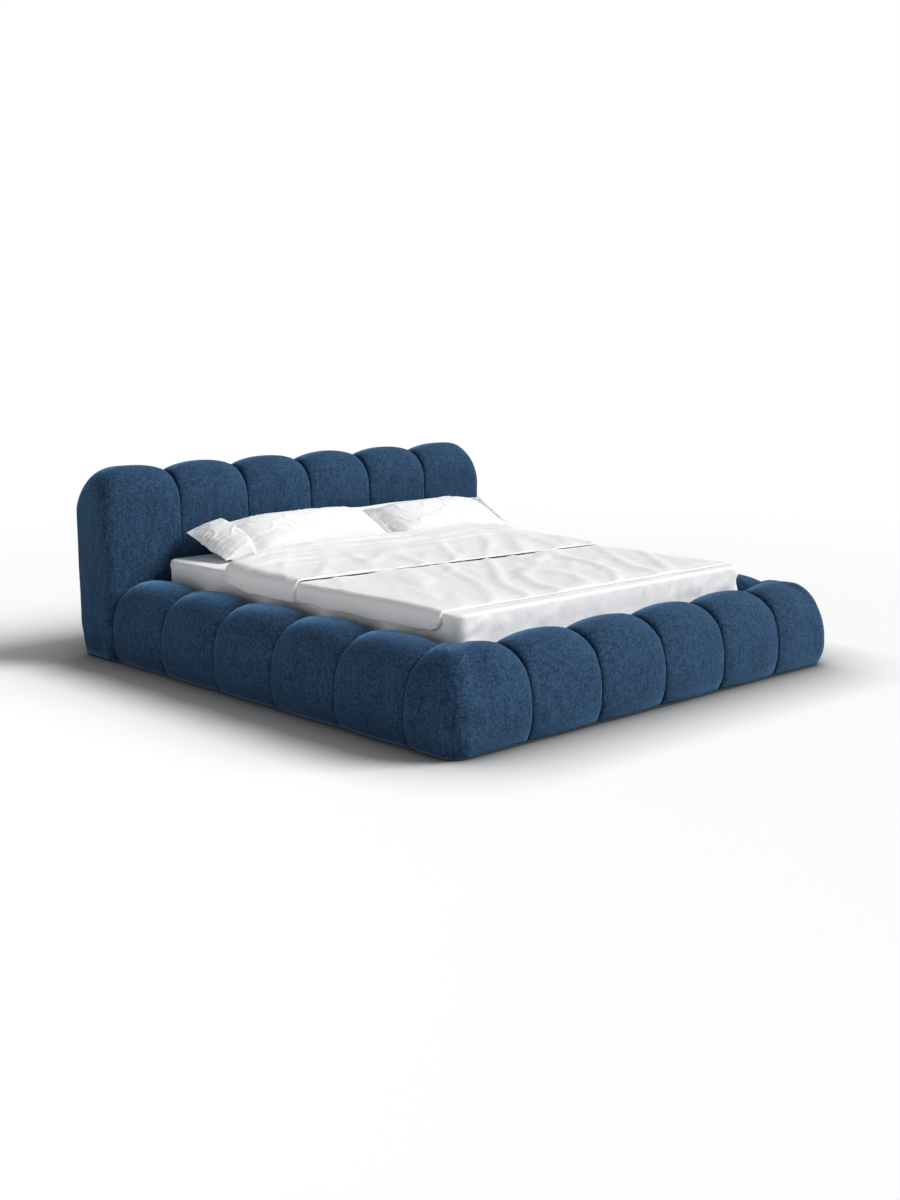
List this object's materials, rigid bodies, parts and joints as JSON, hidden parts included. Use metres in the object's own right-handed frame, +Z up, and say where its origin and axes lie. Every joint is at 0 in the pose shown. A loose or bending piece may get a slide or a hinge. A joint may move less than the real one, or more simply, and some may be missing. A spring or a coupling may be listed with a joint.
{
  "type": "upholstered storage bed",
  "caption": "Low upholstered double bed with channelled padded rails and headboard, a slatted base that lifts over a storage box, mattress, duvet and pillows.",
  "frame": {"origin": "centre of the bed on the floor, under the middle of the bounding box", "axes": "+Y from the foot to the headboard, +Z up, +X to the right seen from the foot"},
  "size_m": [2.396, 2.6171, 0.9],
  "materials": {
    "blue_fabric": "matte",
    "blue_fabric_back": "matte",
    "white_board": "satin",
    "plywood": "matte",
    "pine": "matte",
    "beech": "satin",
    "grey_steel": "satin",
    "zinc_bolts": "satin",
    "black_plastic": "matte",
    "black_cylinder": "satin",
    "bright_rod": "gloss",
    "mattress_cloth": "matte",
    "white_sheet": "matte",
    "white_duvet": "matte",
    "white_pillow": "matte"
  },
  "bodies": {
    "frame": {"base_strip": "black_plastic", "bottom_boards": "plywood", "centre_board": "white_board", "corner_brackets": "grey_steel", "floor_glides": "black_plastic", "foot_board": "white_board", "foot_cushion_1": "blue_fabric", "foot_cushion_2": "blue_fabric", "foot_cushion_3": "blue_fabric", "foot_cushion_4": "blue_fabric", "foot_cushion_5": "blue_fabric", "foot_cushion_6": "blue_fabric", "frame_bolts": "zinc_bolts", "head_end_board": "white_board", "headboard_back_board": "blue_fabric_back", "headboard_cushion_1": "blue_fabric", "headboard_cushion_2": "blue_fabric", "headboard_cushion_3": "blue_fabric", "headboard_cushion_4": "blue_fabric", "headboard_cushion_5": "blue_fabric", "headboard_cushion_6": "blue_fabric", "left_side_board": "white_board", "left_side_cushion_1": "blue_fabric", "left_side_cushion_2": "blue_fabric", "left_side_cushion_3": "blue_fabric", "left_side_cushion_4": "blue_fabric", "left_side_cushion_5": "blue_fabric", "lower_bracket_left": "grey_steel", "lower_bracket_right": "grey_steel", "right_side_board": "white_board", "right_side_cushion_1": "blue_fabric", "right_side_cushion_2": "blue_fabric", "right_side_cushion_3": "blue_fabric", "right_side_cushion_4": "blue_fabric", "right_side_cushion_5": "blue_fabric", "storage_floor": "white_board", "support_ledges": "pine"},
    "front_arms": {"front_arm_left": "grey_steel", "front_arm_right": "grey_steel"},
    "rear_arms": {"rear_arm_left": "grey_steel", "rear_arm_right": "grey_steel"},
    "lifting_base": {"base_bolts": "zinc_bolts", "base_inner_rails": "pine", "base_rail_left": "pine", "base_rail_right": "pine", "base_slats": "beech", "duvet": "white_duvet", "fitted_sheet": "white_sheet", "left_back_pillow": "white_pillow", "left_front_pillow": "white_pillow", "mattress": "mattress_cloth", "mattress_stop_bar": "grey_steel", "right_back_pillow": "white_pillow", "right_front_pillow": "white_pillow", "upper_bracket_left": "grey_steel", "upper_bracket_right": "grey_steel"},
    "gas_cylinders": {"gas_cylinder_left": "black_cylinder", "gas_cylinder_right": "black_cylinder"},
    "gas_rods": {"gas_rod_left": "bright_rod", "gas_rod_right": "bright_rod"}
  },
  "joints": [
    {"name": "base_lift", "type": "hinge", "parent": "frame", "child": "front_arms", "pos_m": [0, -0.1896, 0.0549], "axis": [1, 0, 0], "range_deg": [0, 40]},
    {"name": "base_tilt", "type": "hinge", "parent": "front_arms", "child": "lifting_base", "pos_m": [0, 0.3534, 0.1425], "axis": [1, 0, 0], "range_deg": [-71.65, 0]},
    {"name": "rear_arm_swing", "type": "hinge", "parent": "frame", "child": "rear_arms", "pos_m": [0, 0.0941, 0.1501], "axis": [1, 0, 0], "range_deg": [0, 52.02]},
    {"name": "gas_spring_swing", "type": "hinge", "parent": "frame", "child": "gas_cylinders", "pos_m": [0, 0.3862, 0.05], "axis": [1, 0, 0], "range_deg": [0, 53.53]},
    {"name": "gas_rod_slide", "type": "slide", "parent": "gas_cylinders", "child": "gas_rods", "axis": [0, 0.7897, 0.6135], "range_m": [0, 0.11839]}
  ],
  "couplings": [
    {"joint": "base_tilt", "follows": "base_lift", "ratio": -1.7908},
    {"joint": "rear_arm_swing", "follows": "base_lift", "ratio": 1.3},
    {"joint": "gas_spring_swing", "follows": "base_lift", "ratio": 1.3377},
    {"joint": "gas_rod_slide", "follows": "base_lift", "m_per_rad": 0.1693}
  ]
}
